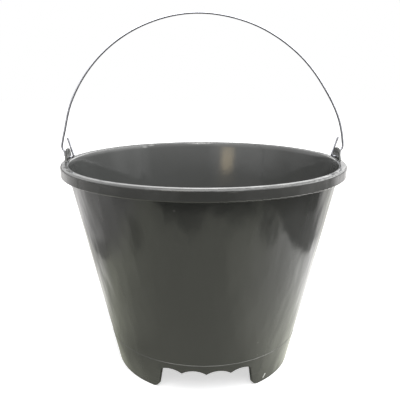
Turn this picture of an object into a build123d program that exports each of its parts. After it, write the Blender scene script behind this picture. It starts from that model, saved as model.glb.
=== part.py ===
from build123d import *
from math import acos, asin, atan2, ceil, cos, degrees, radians, sin
import os

# Builders bucket: one plastic moulding and the wire bail that hangs in its ears.
# Millimetres, +Z up, the ground at z = 0, the ears on the X axis and the finger grip facing -Y.

# Moulding: main sizes
rim_diameter = 315.0
foot_diameter = 203.6
bucket_height = 232.0
wall_thickness = 2.6

# Rim: a flange, as wide as the rim is from the mouth out, with a band hanging from its outer edge.
# Its flat top carries the ears and rounds over a little way outside them.
rim_width = 8.4
rim_thickness = 2.4
rim_band_depth = 12.0
rim_edge_radius = 1.6
rim_flat = 0.1
band_edge_radius = 1.6

# Base: the floor stands above the ground inside a skirt, which is a little proud of the wall
floor_height = 37.0
floor_thickness = 3.0
floor_corner_radius = 8.0
skirt_thickness = 4.0
skirt_ledge = 0.2
gate_diameter = 8.0
gate_depth = 1.2

# Finger grip: an opening in the front of the skirt, with a scallop for each finger
grip_width = 101.4
grip_height = 29.7
grip_side_lean = 16.0
finger_pitch = 26.0
scallop_radius = 20.0
cusp_radius = 1.2
grip_corner_radius = 3.0
grip_foot_radius = 9.0
grip_edge_radius = 0.7

# Ears: tabs that stand on the flange, each with a hole for the bail
ear_thickness = 2.4
ear_rise = 13.2
ear_radius = 11.5
ear_base_width = 28.0
ear_edge_radius = 0.6
hole_rise = 3.0

# Bail: round wire, hooked through the ears
wire_diameter = 2.4
hole_clearance = 0.4
swing_clearance = 0.3
bail_standoff = 5.9
arch_drop = 5.4
arch_spring_angle = 7.0
leg_run = 3.5
kink_radius = 8.0
shank_length = 5.5
shank_radius = 4.0
hook_gap = 2.0
hook_reach = 5.6
hook_outer_radius = 2.4
hook_inner_radius = 2.0
tail_length = 23.0
wire_end_chamfer = 0.3

# How near to a surface an edge lies when it belongs to it
touch = 0.02

# Places that follow from the sizes
rim_radius = rim_diameter / 2
mouth_diameter = rim_diameter - 2 * rim_width
mouth_radius = mouth_diameter / 2
foot_radius = foot_diameter / 2
wall_slope = (mouth_radius + wall_thickness - foot_radius) / bucket_height
flange_underside = bucket_height - rim_thickness
band_bottom = bucket_height - rim_band_depth
band_inside = rim_radius - rim_thickness
floor_underside = floor_height - floor_thickness
grip_fingers = ceil(grip_width / finger_pitch)
ear_inner = mouth_radius + rim_edge_radius + ear_edge_radius
ear_outer = ear_inner + ear_thickness
ear_corner = (ear_outer**2 + (ear_base_width / 2) ** 2) ** 0.5 + ear_edge_radius
rim_round_radius = rim_radius - ear_corner - rim_flat
ear_foot = Vector(ear_base_width / 2, ear_radius - ear_rise)
ear_side_angle = acos(ear_radius / ear_foot.length) + atan2(ear_foot.Y, ear_foot.X)
hole_lift = hole_rise + ear_radius - ear_rise
ear_reach = (ear_radius - hole_lift * sin(ear_side_angle)) / cos(ear_side_angle)
pivot_height = bucket_height + hole_rise
wire_radius = wire_diameter / 2
hole_radius = wire_radius + hole_clearance


def wall_outside(height):
    return foot_radius + wall_slope * height


def skirt_outside(height):
    return wall_outside(height) + skirt_ledge


def distance_from_axis(point):
    return (point.X**2 + point.Y**2) ** 0.5


def moulding():
    """Wall, floor, skirt and rim turned about the bucket's axis, with the gate mark under the floor."""
    corners = [
        ((0, floor_underside), 0),
        ((skirt_outside(floor_underside) - skirt_thickness, floor_underside), 0),
        ((skirt_outside(0) - skirt_thickness, 0), 0),
        ((skirt_outside(0), 0), 0),
        ((skirt_outside(floor_height), floor_height), 0),
        ((wall_outside(floor_height + skirt_ledge), floor_height + skirt_ledge), 0),
        ((wall_outside(flange_underside), flange_underside), 0),
        ((band_inside, flange_underside), 0),
        ((band_inside, band_bottom), 0),
        ((rim_radius, band_bottom), band_edge_radius),
        ((rim_radius, bucket_height), rim_round_radius),
        ((mouth_radius, bucket_height), rim_edge_radius),
        ((wall_outside(floor_height) - wall_thickness, floor_height), floor_corner_radius),
        ((0, floor_height), 0),
    ]
    outline = FilletPolyline([at for at, _ in corners], radius=[r for _, r in corners], close=True)
    turned = revolve(make_face(Plane.XZ * outline), Axis.Z)
    gate = Cylinder(gate_diameter / 2, gate_depth, align=(Align.CENTER, Align.CENTER, Align.MAX))
    return turned + Pos(0, 0, floor_underside) * gate


def finger_grip():
    """The space that the grip leaves in the skirt: leaning sides, open below, scalloped above."""
    outer_reach = skirt_outside(grip_height) + skirt_thickness
    inner_reach = foot_radius - 3 * skirt_thickness
    half_angle = asin(grip_width / 2 / foot_radius)
    side_x = 2 * outer_reach * sin(half_angle)
    side_y = -2 * outer_reach * cos(half_angle)
    wedge = extrude(
        make_face(Polyline((0, 0), (-side_x, side_y), (side_x, side_y), close=True)),
        grip_height + scallop_radius,
        taper=grip_side_lean,
    )
    upwards = (Align.CENTER, Align.CENTER, Align.MIN)
    fingers = Cylinder(outer_reach, grip_height - scallop_radius / 2, align=upwards)
    pitch_angle = degrees(finger_pitch / skirt_outside(grip_height))
    for finger in range(grip_fingers):
        bearing = (finger - (grip_fingers - 1) / 2) * pitch_angle
        axis_height = grip_height - scallop_radius
        scallop = Cylinder(scallop_radius, outer_reach, align=upwards)
        fingers += Rot(0, 0, bearing) * Pos(0, 0, axis_height) * Rot(90, 0, 0) * scallop
    grip = (wedge & fingers) - Cylinder(inner_reach, bucket_height)

    def creases(space):
        """Edges that run outwards along the top of the space, from left to right."""
        return [
            edge
            for edge in space.edges().sort_by(Axis.X)
            if (edge @ 0.5).Z > grip_height / 2
            and abs(distance_from_axis(edge @ 0) - distance_from_axis(edge @ 1)) > skirt_thickness
        ]

    grip = fillet(creases(grip)[1:-1], cusp_radius)
    left, *_, right = creases(grip)
    return fillet([left, right], grip_corner_radius)


def ear(side):
    """A tab on the flange, its leaning sides running into a round top; side is 1 at +X and -1 at -X."""
    root = rim_thickness / 2
    top = ear_radius * Vector(cos(ear_side_angle), sin(ear_side_angle))
    sides = Polyline(
        (-top.X, top.Y),
        (-ear_foot.X, ear_foot.Y),
        (-ear_foot.X, ear_foot.Y - root),
        (ear_foot.X, ear_foot.Y - root),
        (ear_foot.X, ear_foot.Y),
        (top.X, top.Y),
    )
    round_top = ThreePointArc((top.X, top.Y), (0, ear_radius), (-top.X, top.Y))
    face = make_face(sides + round_top) - Pos(0, hole_lift) * Circle(hole_radius)
    round_height = bucket_height + ear_rise - ear_radius
    upright = Plane((side * ear_inner, 0, round_height), x_dir=(0, side, 0), z_dir=(side, 0, 0))
    return upright * extrude(face, ear_thickness)


def bucket_body():
    """The whole moulding: turned shell, ears and finger grip, with their edges rounded."""
    body = moulding() + ear(1) + ear(-1)

    def around_ear(edge):
        middle = edge @ 0.5
        in_face = min(abs(abs(middle.X) - ear_inner), abs(abs(middle.X) - ear_outer)) < touch
        from_pivot = (middle.Y**2 + (middle.Z - pivot_height) ** 2) ** 0.5
        on_tab = from_pivot > hole_radius + touch and middle.Z > bucket_height - touch
        return in_face and on_tab and abs(middle.Y) < ear_base_width / 2

    def across_foot(edge):
        return max((edge @ 0).Z, (edge @ 1).Z) < touch

    def around_skirt(edge):
        points = [edge @ 0.1, edge @ 0.5, edge @ 0.9]
        gaps = [abs(distance_from_axis(p) - skirt_outside(p.Z)) for p in points]
        return max(gaps) < touch and points[1].Z < grip_height

    body = fillet(body.edges().filter_by(around_ear), ear_edge_radius)
    body -= finger_grip()
    body = fillet(body.edges().filter_by(GeomType.LINE).filter_by(across_foot), grip_foot_radius)
    return fillet(body.edges().filter_by(around_skirt), grip_edge_radius)


def wire_bail():
    """The bail: an arch over the mouth, kinked in at each ear and hooked up through its hole."""
    arch_radius = ear_outer + bail_standoff
    arch_centre = pivot_height - arch_drop
    spring = radians(arch_spring_angle)
    leg_end = Vector(arch_radius * cos(spring), arch_centre + arch_radius * sin(spring))
    kink = leg_end + leg_run * Vector(sin(spring), -cos(spring))
    hook_outer = Vector(ear_outer + hook_gap, pivot_height)
    shank_top = hook_outer + Vector(0, shank_length)
    hook_inner = Vector(ear_inner - hook_reach, pivot_height)
    tail_lean = atan2(hook_reach - wire_radius - 2 * swing_clearance, ear_reach)
    tail_end = hook_inner + tail_length * Vector(sin(tail_lean), cos(tail_lean))
    hook = FilletPolyline(
        [leg_end, kink, shank_top, hook_outer, hook_inner, tail_end],
        radius=[kink_radius, shank_radius, hook_outer_radius, hook_inner_radius],
    )
    arch = CenterArc((0, arch_centre), arch_radius, arch_spring_angle, 180 - 2 * arch_spring_angle)
    route = Curve() + [hook, arch, mirror(hook, Plane.YZ)]
    path = Wire((Plane.XZ * route).edges())
    section = Plane(path @ 0, z_dir=path % 0) * Circle(wire_radius)
    wire = sweep(section, path=path)
    return chamfer(wire.faces().filter_by(GeomType.PLANE).edges(), wire_end_chamfer)


os.makedirs("parts", exist_ok=True)
for node, piece in {"bucket_body": bucket_body(), "wire_bail": wire_bail()}.items():
    export_step(piece, f"parts/{node}.step")
    print(node, "volume", round(piece.volume), "mm3")
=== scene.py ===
import bpy
from math import atan2, cos, degrees, pi, prod, radians, sin
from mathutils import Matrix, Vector


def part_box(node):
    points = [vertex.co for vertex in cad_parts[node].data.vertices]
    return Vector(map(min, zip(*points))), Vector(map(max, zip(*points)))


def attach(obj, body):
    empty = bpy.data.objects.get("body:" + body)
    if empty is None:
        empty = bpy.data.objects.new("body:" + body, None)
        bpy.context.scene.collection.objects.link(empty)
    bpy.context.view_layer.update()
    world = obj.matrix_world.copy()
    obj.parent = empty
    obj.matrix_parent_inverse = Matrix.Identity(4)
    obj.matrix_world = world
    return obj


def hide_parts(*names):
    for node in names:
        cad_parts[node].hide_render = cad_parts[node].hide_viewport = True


# Lengths are in metres and angles in degrees; levels of light are linear, and 1 is white.
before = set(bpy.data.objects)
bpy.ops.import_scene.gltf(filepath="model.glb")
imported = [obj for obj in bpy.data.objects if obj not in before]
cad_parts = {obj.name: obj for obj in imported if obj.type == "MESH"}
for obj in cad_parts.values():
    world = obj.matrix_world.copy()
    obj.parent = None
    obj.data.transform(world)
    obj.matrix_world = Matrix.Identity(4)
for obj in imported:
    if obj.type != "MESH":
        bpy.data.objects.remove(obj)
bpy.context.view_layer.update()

# Bucket: wall, floor, rim, ears and finger grip are one shot of dark olive-grey polyolefin, painted
# lighter inside for the light that falls into the mouth. The mould gives it a soft gloss that is never
# quite true, draw lines inside and duller ears. Stacking and dragging have rubbed its rim and foot, and
# left a scratch, a nick and scuffs on the lip. A painted highlight runs along the front of the ledge,
# and a painted glint lies on the middle of the back lip.
ear_rise = 0.0132
rim_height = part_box("bucket_body")[1].z - ear_rise
foot_radius = 0.1018
mouth_radius = 0.1491
wall_thickness = 0.0026
wall_slope = (mouth_radius + wall_thickness - foot_radius) / rim_height
inside_edge = 0.0005
ear_dull_start = 0.0003
ear_dull_full = 0.002

plastic_colour = (0.0365, 0.0372, 0.0340, 1)
shaded_colour = (0.0330, 0.0335, 0.0308, 1)
# Painted light: the inside is a lighter colour than the outside, standing in for the light that falls
# into the mouth.
inside_painted_light_colour = (0.087, 0.089, 0.0855, 1)
rubbed_and_highlight_colour = (0.16, 0.16, 0.15, 1)
scratch_and_glint_colour = (0.8, 0.8, 0.77, 1)
resin_ior = 1.5
mould_roughness = 0.07
tone_roughness = 0.06
wear_roughness = 0.3
rim_roughness = 0.05
ear_roughness = 0.3
draw_mark_roughness = 0.03
inner_polish = 0.055

tone_waves = (11.0, 11.0, 11.0)
waver_waves = (24.0, 24.0, 9.6)
waver_depth = 0.0026
inner_trueness = 0.85
peel_waves = (750.0, 750.0, 750.0)
peel_depth = 0.00003
peel_strength = 0.4
draw_mark_waves = (90.0, 90.0, 3.0)
score_waves = (900.0, 900.0, 12.0)
score_depth = 0.00002
lip_depth = 0.0055
lip_easing = 0.00045

rub_waves = (60.0, 60.0, 620.0)
rub_edge = (0.58, 0.74)
foot_wear_height = 0.03
foot_wear = 0.35
rim_wear_depth = 0.006
rim_wear = 0.45
speck_cells = 55.0
speck_edge = (0.06, 0.03)
speck_rarity = (0.9, 0.92)
speck_wear = 0.45
ledge_height = 0.0371
# Painted highlight: a pale line on the ledge, at the front only, stands for light caught on its edge.
ledge_highlight_edge = (0.0005, 0.0002)
ledge_highlight_bearing = (0.113, -0.994, 0)
ledge_highlight_ends = (0.088, 0.098)
ledge_highlight_paint = 0.6
dab_core = 1 / 3
nick_place = (-0.0301, -0.1439, 0.2101)
nick_reach = (0.0014, 0.0014, 0.0014)
nick_wear = 0.25
scratch_top = Vector((0.0647, -0.0810, 0.0088))
scratch_bottom = Vector((0.0627, -0.0816, 0.0053))
scratch_dabs = 4
scratch_reach = (0.0013, 0.0013, 0.0013)
# Pale marks on the back of the lip: the first, in the middle, is a painted glint, and the others are
# scuffs. Each gives its middle, its reach along each axis and its paleness.
lip_scuffs_and_glint = [
    ((0.0, 0.1495, 0.2305), (0.022, 0.022, 0.0012), 1.05),
    ((-0.0772, 0.1280, 0.2286), (0.005, 0.005, 0.0022), 0.5),
    ((-0.0686, 0.1328, 0.2303), (0.006, 0.006, 0.0014), 0.65),
]


class Socket:
    """One output in a node tree; arithmetic on it adds Math nodes to that tree."""

    def __init__(self, tree, output=None):
        self.tree = tree
        self.output = output

    def node(self, kind, settings=None, inputs=None, output=0):
        """Adds a node: its settings first, then the value or the link of each socket named."""
        made = self.tree.nodes.new(kind)
        for name, value in (settings or {}).items():
            setattr(made, name, value)

        def find(sockets, name):
            if isinstance(name, int):
                return sockets[name]
            return next(s for s in sockets if s.enabled and s.name == name)

        for name, value in (inputs or {}).items():
            socket = find(made.inputs, name)
            if isinstance(value, Socket):
                self.tree.links.new(value.output, socket)
            else:
                socket.default_value = value
        return Socket(self.tree, find(made.outputs, output) if made.outputs else None)

    def maths(self, operation, *values):
        """A Math node on sockets and plain numbers."""
        return self.node("ShaderNodeMath", {"operation": operation}, dict(enumerate(values)))

    def __add__(self, other):
        return self.maths("ADD", self, other)

    def __radd__(self, other):
        return self.maths("ADD", other, self)

    def __sub__(self, other):
        return self.maths("SUBTRACT", self, other)

    def __rsub__(self, other):
        return self.maths("SUBTRACT", other, self)

    def __mul__(self, other):
        return self.maths("MULTIPLY", self, other)

    def __rmul__(self, other):
        return self.maths("MULTIPLY", other, self)

    def __abs__(self):
        return self.maths("ABSOLUTE", self)


def blank_tree(owner):
    """Empties the node tree of a material or a world and returns the wrapper that fills it."""
    owner.use_nodes = True
    owner.node_tree.nodes.clear()
    return Socket(owner.node_tree)


def coordinate(vector, axis):
    """One coordinate of a vector."""
    return vector.node("ShaderNodeSeparateXYZ", None, {"Vector": vector}, axis)


def vector_maths(operation, *inputs, output="Vector"):
    """A Vector Math node; its first input is a socket and the others are sockets or plain vectors."""
    settings = {"operation": operation}
    return inputs[0].node("ShaderNodeVectorMath", settings, dict(enumerate(inputs)), output)


def ramp(value, start, full):
    """0 at start and 1 at full, straight between them."""
    return value.node("ShaderNodeMapRange", None, {"Value": value, "From Min": start, "From Max": full})


def noise(place, waves, detail):
    """Cloudy noise around 0.5, with so many waves in a metre along each axis."""
    spread = vector_maths("MULTIPLY", place, waves)
    return place.node("ShaderNodeTexNoise", None, {"Vector": spread, "Scale": 1.0, "Detail": detail})


plastic = bpy.data.materials.new("bucket_plastic_moulded")
shader = blank_tree(plastic)
place = shader.node("ShaderNodeTexCoord", output="Object")
height = coordinate(place, "Z")
flat_place = vector_maths("MULTIPLY", place, (1, 1, 0))
from_axis = vector_maths("LENGTH", flat_place, output="Value")
wall_middle = height * wall_slope + (foot_radius - wall_thickness / 2)
inside = ramp(wall_middle - from_axis, -inside_edge, inside_edge)
near_foot = ramp(height, foot_wear_height, 0.0)
near_rim = ramp(height, rim_height - rim_wear_depth, rim_height)
on_lip = ramp(height, rim_height - lip_depth, rim_height)
on_ear = ramp(height, rim_height + ear_dull_start, rim_height + ear_dull_full)

tone = noise(place, tone_waves, detail=3.0)
waver = noise(place, waver_waves, detail=2.5)
peel = noise(place, peel_waves, detail=1.0)
draw_marks = noise(place, draw_mark_waves, detail=2.0)
scores = noise(place, score_waves, detail=1.0)
rubs = ramp(noise(place, rub_waves, detail=4.0), *rub_edge)
speck_settings = {"feature": "F1", "distance": "EUCLIDEAN"}
speck_inputs = {"Vector": place, "Scale": speck_cells}
from_speck = shader.node("ShaderNodeTexVoronoi", speck_settings, speck_inputs, "Distance")
cell_colour = shader.node("ShaderNodeTexVoronoi", speck_settings, speck_inputs, "Color")
cell_chance = shader.node("ShaderNodeSeparateColor", None, {"Color": cell_colour}, "Red")
specks = ramp(from_speck, *speck_edge) * ramp(cell_chance, *speck_rarity)
# Painted highlight along the front of the ledge, mixed in with the wear.
on_ledge = ramp(abs(height - ledge_height), *ledge_highlight_edge)
frontness = vector_maths("DOT_PRODUCT", flat_place, ledge_highlight_bearing, output="Value")
ledge_painted_highlight = on_ledge * ramp(frontness, *ledge_highlight_ends) * (1 - inside)


def dab(middle, reach):
    """A small mark: 1 at its middle and 0 beyond its reach along each axis."""
    share = vector_maths("DIVIDE", vector_maths("SUBTRACT", place, middle), reach)
    return ramp(vector_maths("LENGTH", share, output="Value"), 1.0, dab_core)


nick = dab(nick_place, nick_reach)
scratches_and_glint = dab(scratch_top, scratch_reach)
for step in range(1, scratch_dabs):
    scratches_and_glint = scratches_and_glint + dab(scratch_top.lerp(scratch_bottom, step / (scratch_dabs - 1)), scratch_reach)
# Lip marks: scuffs, and the painted glint on the middle of the back lip.
for middle, reach, paleness in lip_scuffs_and_glint:
    scratches_and_glint = scratches_and_glint + dab(middle, reach) * peel * paleness
# Real rubs, specks and the nick, together with the painted ledge highlight.
wear_and_ledge_highlight = rubs * (near_foot * foot_wear + near_rim * rim_wear)
wear_and_ledge_highlight = wear_and_ledge_highlight + specks * speck_wear + ledge_painted_highlight * ledge_highlight_paint + nick * nick_wear


def blend(factor, first, second):
    """The first colour where the factor is 0 and the second where it is 1."""
    inputs = {"Factor": factor, "A": first, "B": second}
    return factor.node("ShaderNodeMix", {"data_type": "RGBA"}, inputs, "Result")


def bump(relief, depth, strength=1.0, under=None):
    """A normal that shows relief of a depth in metres, over another normal if one is given."""
    inputs = {"Height": relief, "Distance": depth, "Strength": strength}
    if under:
        inputs["Normal"] = under
    return relief.node("ShaderNodeBump", None, inputs)


# Resin tone, painted lighter inside for the light in the mouth; over it wear and the painted ledge
# highlight, then scratches and the painted lip glint.
resin_and_inner_light = blend(inside, blend(tone, shaded_colour, plastic_colour), inside_painted_light_colour)
colour = blend(scratches_and_glint, blend(wear_and_ledge_highlight, resin_and_inner_light, rubbed_and_highlight_colour), scratch_and_glint_colour)
uneven = bump(waver * (1 - inside * inner_trueness), waver_depth)
eased = bump(on_lip * on_lip * inside * -1, lip_easing, under=uneven)
scored = bump(scores * inside, score_depth, under=eased)
surface = bump(peel, peel_depth, peel_strength, scored)
roughness = mould_roughness + tone * tone_roughness + wear_and_ledge_highlight * wear_roughness
roughness = roughness + near_rim * rim_roughness + on_ear * ear_roughness
roughness = roughness + inside * (draw_marks * draw_mark_roughness - inner_polish)
body = shader.node(
    "ShaderNodeBsdfPrincipled",
    None,
    {"Base Color": colour, "Roughness": roughness, "Normal": surface, "IOR": resin_ior},
)
shader.node("ShaderNodeOutputMaterial", None, {"Surface": body})
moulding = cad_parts["bucket_body"]
moulding.data.materials.clear()
moulding.data.materials.append(plastic)

# Bail: one length of drawn, galvanised steel wire, bent over a former into the carrying arch. Each
# cropped end goes through the hole of an ear and is bent up into a hook, so the wire is its own hinge
# pin. The zinc is dull grey with faint die lines along it, and use has set the arch a little askew.
zinc_bright = (0.44, 0.445, 0.475, 1)
zinc_dull = (0.34, 0.345, 0.375, 1)
zinc_roughness = 0.27
bloom_roughness = 0.2
die_line_roughness = 0.06
bloom_waves = (160.0, 160.0, 160.0)
pit_waves = (2200.0, 2200.0, 2200.0)
die_line_waves = (4500.0, 4500.0, 4500.0)
zinc_relief = 0.00002
zinc_relief_strength = 0.25
arch_middle = 0.2296
straight_leg = 0.03
sway_at_top = -0.0038
sway_curve = 1.3
# The set that the wire has taken: an angle about the arch's middle, and how far out it lies there.
wire_set = [
    (0, 0.0), (14, 0.0), (33, -0.0020), (50, -0.0015), (72, -0.0008), (94, 0.0),
    (112, -0.0003), (154, -0.0003), (166, -0.0013), (174, 0.0), (180, 0.0),
]

zinc = bpy.data.materials.new("bail_wire_galvanised")
shader = blank_tree(zinc)
place = shader.node("ShaderNodeTexCoord", output="Object")
bloom = noise(place, bloom_waves, detail=4.0)
pits = noise(place, pit_waves, detail=2.0)
in_arch = vector_maths("MULTIPLY", vector_maths("SUBTRACT", place, (0, 0, arch_middle)), (1, 0, 1))
from_middle = vector_maths("LENGTH", in_arch, output="Value")
section = shader.node("ShaderNodeCombineXYZ", None, {"X": from_middle, "Y": coordinate(place, "Y")})
die_lines = noise(section, die_line_waves, detail=1.0)
metal = shader.node(
    "ShaderNodeBsdfPrincipled",
    None,
    {
        "Base Color": blend(bloom, zinc_dull, zinc_bright),
        "Metallic": 1.0,
        "Roughness": zinc_roughness + bloom * bloom_roughness + die_lines * die_line_roughness,
        "Normal": bump(pits + die_lines, zinc_relief, zinc_relief_strength),
    },
)
shader.node("ShaderNodeOutputMaterial", None, {"Surface": metal})

straight_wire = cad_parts["wire_bail"]
sway_start = rim_height + straight_leg
crown_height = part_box("wire_bail")[1].z
wire_mesh = straight_wire.data.copy()
wire_mesh.name = "sprung_wire"
wire_mesh.materials.clear()
wire_mesh.materials.append(zinc)


def set_at(angle):
    """How far the wire lies outside a true arch, at an angle about the middle of that arch."""
    for (start, first), (end, second) in zip(wire_set, wire_set[1:]):
        if start <= angle <= end:
            share = (angle - start) / (end - start)
            return first + (second - first) * share * share * (3 - 2 * share)
    return 0.0


for vertex in wire_mesh.vertices:
    angle = atan2(vertex.co.z - arch_middle, vertex.co.x)
    push = set_at(degrees(angle))
    lift = max(0.0, (vertex.co.z - sway_start) / (crown_height - sway_start))
    vertex.co.x += sway_at_top * lift**sway_curve + push * cos(angle)
    vertex.co.z += push * sin(angle)
sprung_wire = bpy.data.objects.new("sprung_wire", wire_mesh)
bpy.context.scene.collection.objects.link(sprung_wire)
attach(sprung_wire, "bail")
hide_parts("wire_bail")

# Floor: a sheet of plain white paper. To the camera it is white and keeps the bucket's shadow. Only
# glossy rays see a painted reflection on it: a glow brighter towards the window on the right, a painted
# shadow under the bucket, and painted dark patches for a table past its front and right edges.
floor_half = 6.0
paper_white = (0.82, 0.82, 0.82, 1)
paper_glow = 0.62
shadow_reach = 0.35
white_reach = 0.9
sheet_tint = (1.0, 1.02, 0.85, 1)
window_tint = (1.0, 1.0, 0.965, 1)
far_tint = (1.0, 0.985, 0.975, 1)
sheet_level = 0.80
window_patch_level = 1.1
far_level = 0.54
front_table_level = 0.05
right_table_level = 0.42
right_table_fall = 0.2
right_table_skew = 0.25
table_corner_cover = 0.75
painted_shadow_level = 0.12
left_gap_depth = 0.48
left_shade_depth = 0.36
back_whiteness = 0.75
left_glint_place = (-0.225, 0.11, 0)
# Painted dark patches in the reflection, for dark things by the sheet. Each: its middle, its reach,
# the reach of its core and its depth.
painted_reflection_darks = [
    ((0.285, -0.245, 0), 0.07, 0.02, 0.5),
    ((0.32, -0.3, 0), 0.07, 0.02, 0.6),
    ((-0.3, -0.2, 0), 0.065, 0.015, 0.45),
    ((-0.22, -0.37, 0), 0.1, 0.03, 0.25),
    ((-0.15, -0.405, 0), 0.09, 0.035, 0.7),
    ((-0.08, -0.41, 0), 0.085, 0.03, 0.7),
    ((0.14, -0.4, 0), 0.07, 0.03, 0.45),
    ((0.21, -0.385, 0), 0.08, 0.03, 0.65),
    ((0.27, -0.36, 0), 0.08, 0.03, 0.4),
    ((-0.42, 0.14, 0), 0.06, 0.02, 0.15),
]

paper_mesh = bpy.data.meshes.new("paper_floor")
corners = [(-1, -1), (1, -1), (1, 1), (-1, 1)]
paper_mesh.from_pydata([(x * floor_half, y * floor_half, 0) for x, y in corners], [], [(0, 1, 2, 3)])
paper_floor = bpy.data.objects.new("paper_floor", paper_mesh)
bpy.context.scene.collection.objects.link(paper_floor)


def rise(value, start, full):
    """0 at start and 1 at full, with a soft turn at both ends."""
    inputs = {"Value": value, "From Min": start, "From Max": full}
    return value.node("ShaderNodeMapRange", {"interpolation_type": "SMOOTHSTEP"}, inputs)


def within(*spans):
    """1 inside every span: a value, its start and full point and, if it ends, its wane and end."""
    edges = []
    for value, start, full, *fall in spans:
        edges.append(rise(value, start, full))
        if fall:
            wanes, ends = fall
            edges.append(rise(value, ends, wanes))
    return prod(edges)


def lit(level, patches):
    """A level of light with soft patches added to it; each patch is its own level and then its spans."""
    for share, *spans in patches.values():
        level = level + within(*spans) * share
    return level


def over(base, cover, mask):
    """A base with a cover laid over it where the mask is 1."""
    return base * (1 - mask) + cover * mask


paper = bpy.data.materials.new("paper_white")
shader = blank_tree(paper)
place = shader.node("ShaderNodeTexCoord", output="Object")
across = coordinate(place, "X")
along = coordinate(place, "Y")
away = vector_maths("LENGTH", place, output="Value")
sideways = abs(across)
from_glint = vector_maths("DISTANCE", place, left_glint_place, output="Value")
window_patch = within((across, -0.01, 0.33), (along, -0.38, -0.12, 0.12, 0.36))
sheet_patches = {
    "left": (0.05, (across, -0.10, -0.25)),
    "left, but for the front": (0.1, (across, -0.10, -0.25), (along, -0.3, -0.1)),
    "left glint": (0.38, (from_glint, 0.09, 0.03)),
    "left middle": (0.17, (across, -0.35, -0.31, -0.27, -0.21), (along, -0.2, -0.13, -0.03, 0.01)),
    "left edge": (-0.17, (across, -0.48, -0.43, -0.37, -0.32), (along, -0.24, -0.19, -0.03, 0.03)),
    "left corner": (0.28, (across, -0.36, -0.43), (along, 0.2, 0.32, 0.42, 0.6)),
    "back": (0.25, (along, 0.10, 0.35)),
    "back right": (0.5, (across, 0.2, 0.4), (along, 0.25, 0.6)),
    "right of the foot": (0.3, (across, 0.05, 0.13), (away, 0.28, 0.15), (along, 0.03, -0.05)),
    "right strip": (0.22, (across, 0.15, 0.19, 0.3, 0.33), (along, -0.05, 0.0, 0.07, 0.13)),
    "front right": (0.15, (across, 0.05, 0.13, 0.2, 0.26), (along, -0.19, -0.24)),
}
far_patches = {
    "back": (0.75, (along, 0.1, 0.7)),
    "right": (0.18, (across, 0.3, 0.9)),
    "right front": (0.3, (across, 0.3, 0.9), (along, 0.0, -0.2)),
}
front_table_patches = {
    "nearer the viewer": (0.19, (along, -0.45, -1.1)),
    "both sides": (0.38, (sideways, 0.35, 0.7)),
    "far right": (0.45, (across, 0.75, 1.15)),
    "far left": (0.3, (across, -0.8, -1.15)),
    "strip": (0.6, (along, -0.95, -0.8, -0.55, -0.45), (sideways, 0.62, 0.42)),
}
outer_patches = {
    "left": (0.33, (across, -0.95, -1.1), (along, -0.6, -0.4, 0.45, 0.6)),
    "right": (0.2, (across, 0.98, 1.12), (along, -0.45, -0.25, 0.5, 0.7)),
}
sheet_light = lit(sheet_level + window_patch * window_patch_level, sheet_patches)
sheet_light = over(sheet_light, lit(far_level, far_patches), rise(sideways, 0.75, 0.95))
# Painted reflection of a dark table past the sheet's right and front edges, and a painted darker band on
# the left.
left_gap = within((across, -0.385, -0.36, -0.325, -0.3), (along, -0.1, 0.05, 0.13, 0.2))
table_corner = within((across, 0.385, 0.35), (along, 0.05, 0.11)) * table_corner_cover
right_table = within((across, 0.322, 0.352, 0.7, 0.95), (along, 0.3, 0.07)) * (1 - table_corner)
right_far = rise(away - along * right_table_skew, 0.44, 0.485)
right_light = right_table_level - right_far * right_table_fall
front_table = rise(along, -0.365, -0.405)
mirrored_light = over(sheet_light * (1 - left_gap * left_gap_depth), right_light, right_table)
mirrored_light = over(mirrored_light, lit(front_table_level, front_table_patches), front_table)
mirrored_light = lit(mirrored_light, outer_patches)
for middle, reach, core, depth in painted_reflection_darks:
    from_painted_dark = vector_maths("DISTANCE", place, middle, output="Value")
    mirrored_light = mirrored_light * (1 - rise(from_painted_dark, reach, core) * depth)
# Painted shadow under the bucket, and painted shade to its left, in the reflection.
past_foot = rise(away, 0.088, 0.108)
left_shade = within((across, -0.06, -0.12), (away, 0.18, 0.12))
mirrored_light = mirrored_light * (painted_shadow_level + past_foot * (1 - painted_shadow_level))
mirrored_light = mirrored_light * (1 - left_shade * left_shade_depth)
# The painted reflection takes the sheet's warm tint near the sheet, less at its back, and the far tint
# further off and on the left.
near_sheet = (1 - rise(away, 0.6, 0.9)) * (1 - rise(across, -0.28, -0.4))
warm_reflected = near_sheet * (1 - rise(along, -0.03, 0.12) * back_whiteness)
tint = blend(1 - warm_reflected, blend(window_patch, sheet_tint, window_tint), far_tint)


def scaled(colour, amount):
    """A colour multiplied by an amount, which is a socket."""
    return amount.node("ShaderNodeVectorMath", {"operation": "SCALE"}, {0: colour, "Scale": amount})


def ray_kinds(tree):
    """Masks for the rays of the camera, for those that gloss mirrors and for those that pass through."""
    kinds = ("Camera", "Glossy", "Transmission")
    return [tree.node("ShaderNodeLightPath", output=f"Is {kind} Ray") for kind in kinds]


seen, mirrored, through = ray_kinds(shader)
whitened = paper_glow + rise(away, shadow_reach, white_reach) * (1 - paper_glow)
matte = shader.node("ShaderNodeBsdfDiffuse", None, {"Color": paper_white})
glow = shader.node("ShaderNodeEmission", None, {"Color": (seen + through) * whitened})
sheet = shader.node("ShaderNodeAddShader", None, {0: matte, 1: glow})
reflection = shader.node("ShaderNodeEmission", None, {"Color": scaled(tint, mirrored_light)})
shown = shader.node("ShaderNodeMixShader", None, {0: mirrored, 1: sheet, 2: reflection})
shader.node("ShaderNodeOutputMaterial", None, {"Surface": shown})
paper_mesh.materials.append(paper)

# Studio: a white room gives even, soft light and is white to the camera. Lamps stand for its window on
# the right, its ceiling and its back wall. The gloss mirrors more of it: a dim front wall with that
# window, a doorway and a small warm lamp, which is the warm streak inside the bucket.
room_level = 0.3
back_wall_level = 0.68
front_wall_level = 0.2
warm_colour = (1, 0.8, 0.48)
warm_bearing = -26.5
window_bar_bearing = 75
level_lean = 0.095

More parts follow.
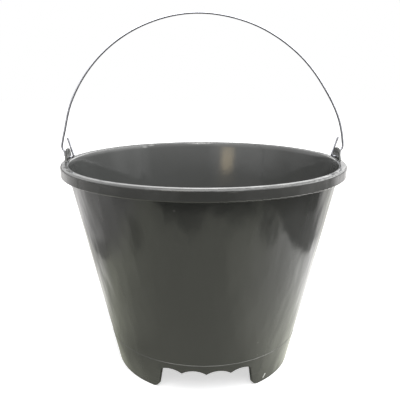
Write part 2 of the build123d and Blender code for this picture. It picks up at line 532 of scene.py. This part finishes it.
room = bpy.data.worlds.new("white_room")
bpy.context.scene.world = room
shader = blank_tree(room)
seen, mirrored, through = ray_kinds(shader)
direction = shader.node("ShaderNodeTexCoord", output="Generated")
rightwards = coordinate(direction, "X")
backwards = coordinate(direction, "Y")
upwards = coordinate(direction, "Z")
bearing = rightwards.maths("ARCTAN2", rightwards, backwards * -1) * (180 / pi)
raised = upwards + (backwards + 1) * level_lean
from_bar = abs(bearing - window_bar_bearing)
from_warm_lamp = abs(bearing - warm_bearing)
window_width = (bearing, 50, 66, 88, 104)
high_window = (bearing, 50, 66, 110, 140)
door_width = (bearing, -95, -55, -18, -2)
back_wall_patches = {
    "upper wall": (1.35, (upwards, 0.08, 0.2)),
    "window": (2.0, (rightwards, -0.08, 0.0), (upwards, 0.22, 0.32, 0.55, 0.7)),
    "left": (-0.4, (rightwards, 0.0, -0.25)),
}
front_wall_patches = {
    "upper wall": (1.2, (raised, 0.225, 0.33)),
    "window": (0.42, window_width),
    "panes beside its bar": (0.2, window_width, (from_bar, 3, 9)),
    "doorway": (0.1, door_width),
    "upper doorway": (0.5, door_width, (raised, 0.225, 0.27)),
    "ceiling": (1.5, (raised, 0.28, 0.6)),
    "high window": (2.2, high_window, (raised, 0.28, 0.6)),
    "high window, lower part": (1.8, high_window, (raised, 0.28, 0.6), (upwards, 0.75, 0.55)),
    "side walls": (0.3, (backwards, -0.1, 0.25)),
}
warm_patches = {
    "shade": (3.3, (from_warm_lamp, 10, 2), (raised, 0.242, 0.251, 0.275, 0.31)),
    "spill": (0.3, (from_warm_lamp, 16, 3), (raised, 0.2, 0.22)),
}
back_wall = lit(back_wall_level, back_wall_patches)
front_wall = lit(front_wall_level, front_wall_patches)
mirrored_room = over(back_wall, front_wall, rise(backwards, 0.8, 0.4))
white = seen + mirrored * mirrored_room + through
plain = 1 - (seen + mirrored + through)
walls = shader.node("ShaderNodeBackground", None, {"Color": white + plain * room_level})
warm_light = scaled(warm_colour, mirrored * lit(0.0, warm_patches))
warm_lamp = shader.node("ShaderNodeBackground", None, {"Color": warm_light})
whole_room = shader.node("ShaderNodeAddShader", None, {0: walls, 1: warm_lamp})
shader.node("ShaderNodeOutputWorld", None, {"Surface": whole_room})


def lamp(name, bearing, elevation, distance, width, height, radiance, tint, in_gloss=True):
    """An area lamp aimed at the rim's middle; its bearing is from the front, positive to the right."""
    data = bpy.data.lights.new(name, "AREA")
    data.shape = "RECTANGLE"
    data.size = width
    data.size_y = height
    data.energy = radiance * pi * width * height
    data.color = tint
    out = Vector(
        (
            sin(radians(bearing)) * cos(radians(elevation)),
            -cos(radians(bearing)) * cos(radians(elevation)),
            sin(radians(elevation)),
        )
    )
    placed = bpy.data.objects.new(name, data)
    placed.location = Vector((0, 0, rim_height)) + out * distance
    placed.rotation_mode = "QUATERNION"
    placed.rotation_quaternion = out.to_track_quat("Z", "Y")
    placed.visible_camera = False
    placed.visible_glossy = in_gloss
    bpy.context.scene.collection.objects.link(placed)


lamp(
    "window", bearing=85, elevation=28, distance=1.7, width=2.2, height=0.95, radiance=2.0,
    tint=(0.94, 0.97, 1.0), in_gloss=False,
)
lamp(
    "ceiling", bearing=0, elevation=60, distance=2.1, width=2.2, height=2.0, radiance=3.2,
    tint=(1.0, 1.0, 1.0),
)
lamp(
    "back_wall", bearing=165, elevation=14, distance=2.0, width=2.2, height=0.9, radiance=1.35,
    tint=(1.0, 1.0, 1.0), in_gloss=False,
)

# Camera: stands a little left of the finger grip, above the rim, and looks down into the mouth. Its
# lens is given as a focal length in pixels of a square picture.
camera_distance = 0.5646
camera_height = 0.3236
camera_down = 13.87
camera_orbit = 1.87
camera_pan = 0.39
focal_pixels = 501.6
frame_pixels = 400

lens = bpy.data.cameras.new("camera")
lens.sensor_width = 36.0
lens.lens = focal_pixels / frame_pixels * lens.sensor_width
camera = bpy.data.objects.new("camera", lens)
orbit = radians(camera_orbit)
camera.location = (-camera_distance * sin(orbit), -camera_distance * cos(orbit), camera_height)
camera.rotation_euler = (radians(90 - camera_down), 0, radians(camera_pan - camera_orbit))
bpy.context.scene.collection.objects.link(camera)
bpy.context.scene.camera = camera
bpy.context.scene.view_settings.view_transform = "Standard"
